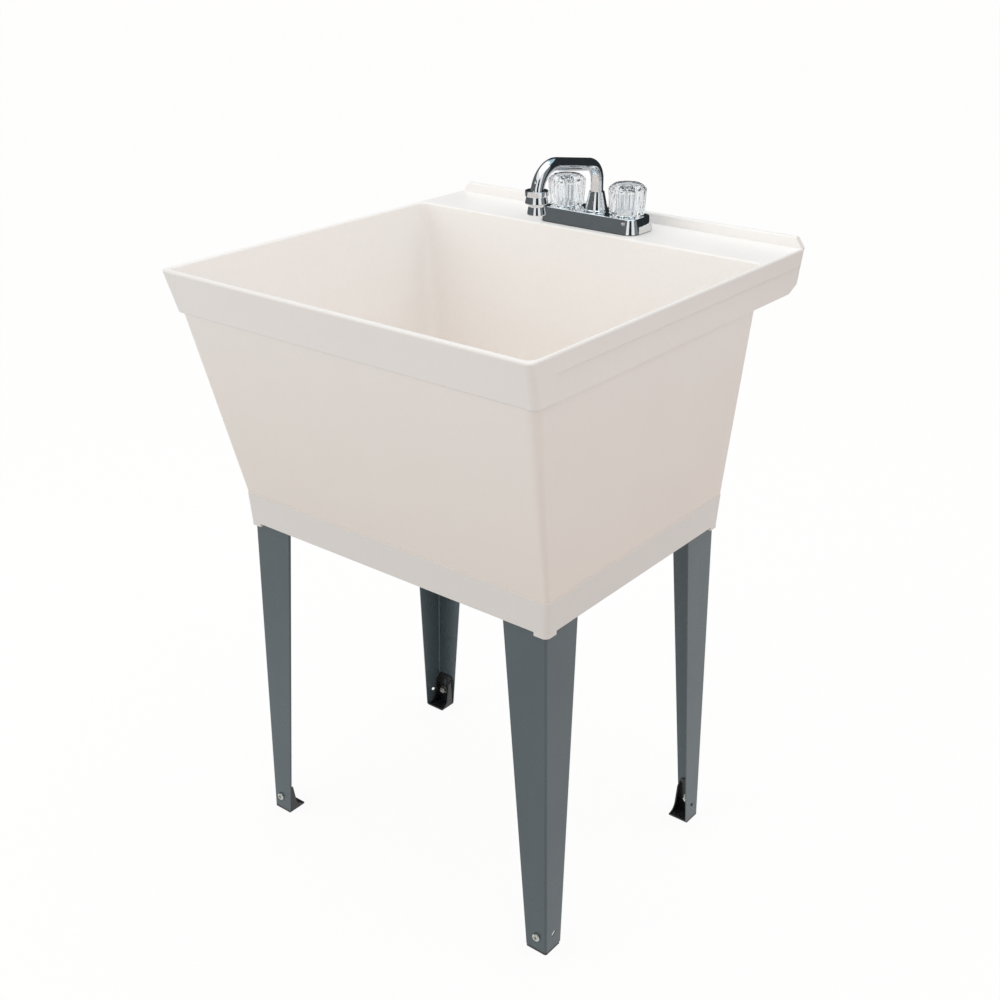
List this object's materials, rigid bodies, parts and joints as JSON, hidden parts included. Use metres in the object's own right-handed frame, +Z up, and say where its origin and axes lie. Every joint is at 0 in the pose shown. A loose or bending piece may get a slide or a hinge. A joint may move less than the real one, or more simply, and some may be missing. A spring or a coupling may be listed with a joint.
{
  "type": "utility laundry sink",
  "caption": "Free-standing moulded laundry tub on tapered steel angle legs with levelling feet, a two-handle swivel spout faucet and a plugged drain.",
  "frame": {"origin": "on the floor, under the middle of the tub's outline", "axes": "+Z up, the front of the tub faces -Y and the faucet stands at +Y; hot is at -X"},
  "size_m": [0.581, 0.597, 0.9629],
  "materials": {
    "tub_plastic": "moulded, satin, off white",
    "leg_paint": "satin grey baked paint",
    "black_paint": "gloss black paint",
    "zinc_steel": "bright zinc plate",
    "chrome": "polished chrome plate",
    "brass": "cast and turned brass",
    "black_rubber": "matt black rubber",
    "white_nylon": "moulded white nylon",
    "stainless_steel": "pressed stainless steel",
    "clear_acrylic": "clear moulded acrylic, polished",
    "index_plastic": "glossy pale plastic"
  },
  "bodies": {
    "sink": {"tub": "tub_plastic", "leg_front_right": "leg_paint", "leg_front_left": "leg_paint", "leg_rear_right": "leg_paint", "leg_rear_left": "leg_paint", "foot_screws": "zinc_steel", "foot_washers": "zinc_steel", "foot_nuts": "zinc_steel", "faucet_gasket": "black_rubber", "faucet_cover": "chrome", "faucet_body": "brass", "shank_washers": "zinc_steel", "shank_nuts": "white_nylon", "bonnet_nuts": "chrome", "spout_hub_nut": "chrome", "drain_body": "stainless_steel", "drain_gasket": "black_rubber", "drain_friction_washer": "white_nylon", "drain_locknut": "white_nylon", "drain_tailpiece": "white_nylon", "drain_slip_washer": "white_nylon", "drain_slip_nut": "white_nylon"},
    "hot_handle": {"hot_knob": "clear_acrylic", "hot_stem": "chrome", "hot_stem_seal": "black_rubber", "hot_knob_screw": "zinc_steel", "hot_knob_cap": "index_plastic"},
    "cold_handle": {"cold_knob": "clear_acrylic", "cold_stem": "chrome", "cold_stem_seal": "black_rubber", "cold_knob_screw": "zinc_steel", "cold_knob_cap": "index_plastic"},
    "spout_arm": {"spout": "chrome", "spout_seals": "black_rubber", "spout_retaining_ring": "white_nylon", "aerator_housing": "chrome", "aerator_screen": "stainless_steel", "aerator_washer": "black_rubber"},
    "levelling_foot_front_right": {"foot_front_right": "black_paint"},
    "levelling_foot_front_left": {"foot_front_left": "black_paint"},
    "levelling_foot_rear_right": {"foot_rear_right": "black_paint"},
    "levelling_foot_rear_left": {"foot_rear_left": "black_paint"},
    "plug": {"drain_stopper": "black_rubber"}
  },
  "joints": [
    {"name": "hot_turn", "type": "hinge", "parent": "sink", "child": "hot_handle", "pos_m": [-0.0508, 0.2325, 0.885], "axis": [0, 0, 1], "range_deg": [0, 90]},
    {"name": "cold_turn", "type": "hinge", "parent": "sink", "child": "cold_handle", "pos_m": [0.0508, 0.2325, 0.885], "axis": [0, 0, 1], "range_deg": [-90, 0]},
    {"name": "spout_swivel", "type": "hinge", "parent": "sink", "child": "spout_arm", "pos_m": [0, 0.2325, 0.885], "axis": [0, 0, 1], "continuous": true},
    {"name": "level_front_right", "type": "slide", "parent": "sink", "child": "levelling_foot_front_right", "axis": [0, 0, 1], "range_m": [-0.018, 0]},
    {"name": "level_front_left", "type": "slide", "parent": "sink", "child": "levelling_foot_front_left", "axis": [0, 0, 1], "range_m": [-0.018, 0]},
    {"name": "level_rear_right", "type": "slide", "parent": "sink", "child": "levelling_foot_rear_right", "axis": [0, 0, 1], "range_m": [-0.018, 0]},
    {"name": "level_rear_left", "type": "slide", "parent": "sink", "child": "levelling_foot_rear_left", "axis": [0, 0, 1], "range_m": [-0.018, 0]},
    {"name": "plug_lift", "type": "slide", "parent": "sink", "child": "plug", "axis": [0, 0, 1], "range_m": [0, 0.06]}
  ]
}
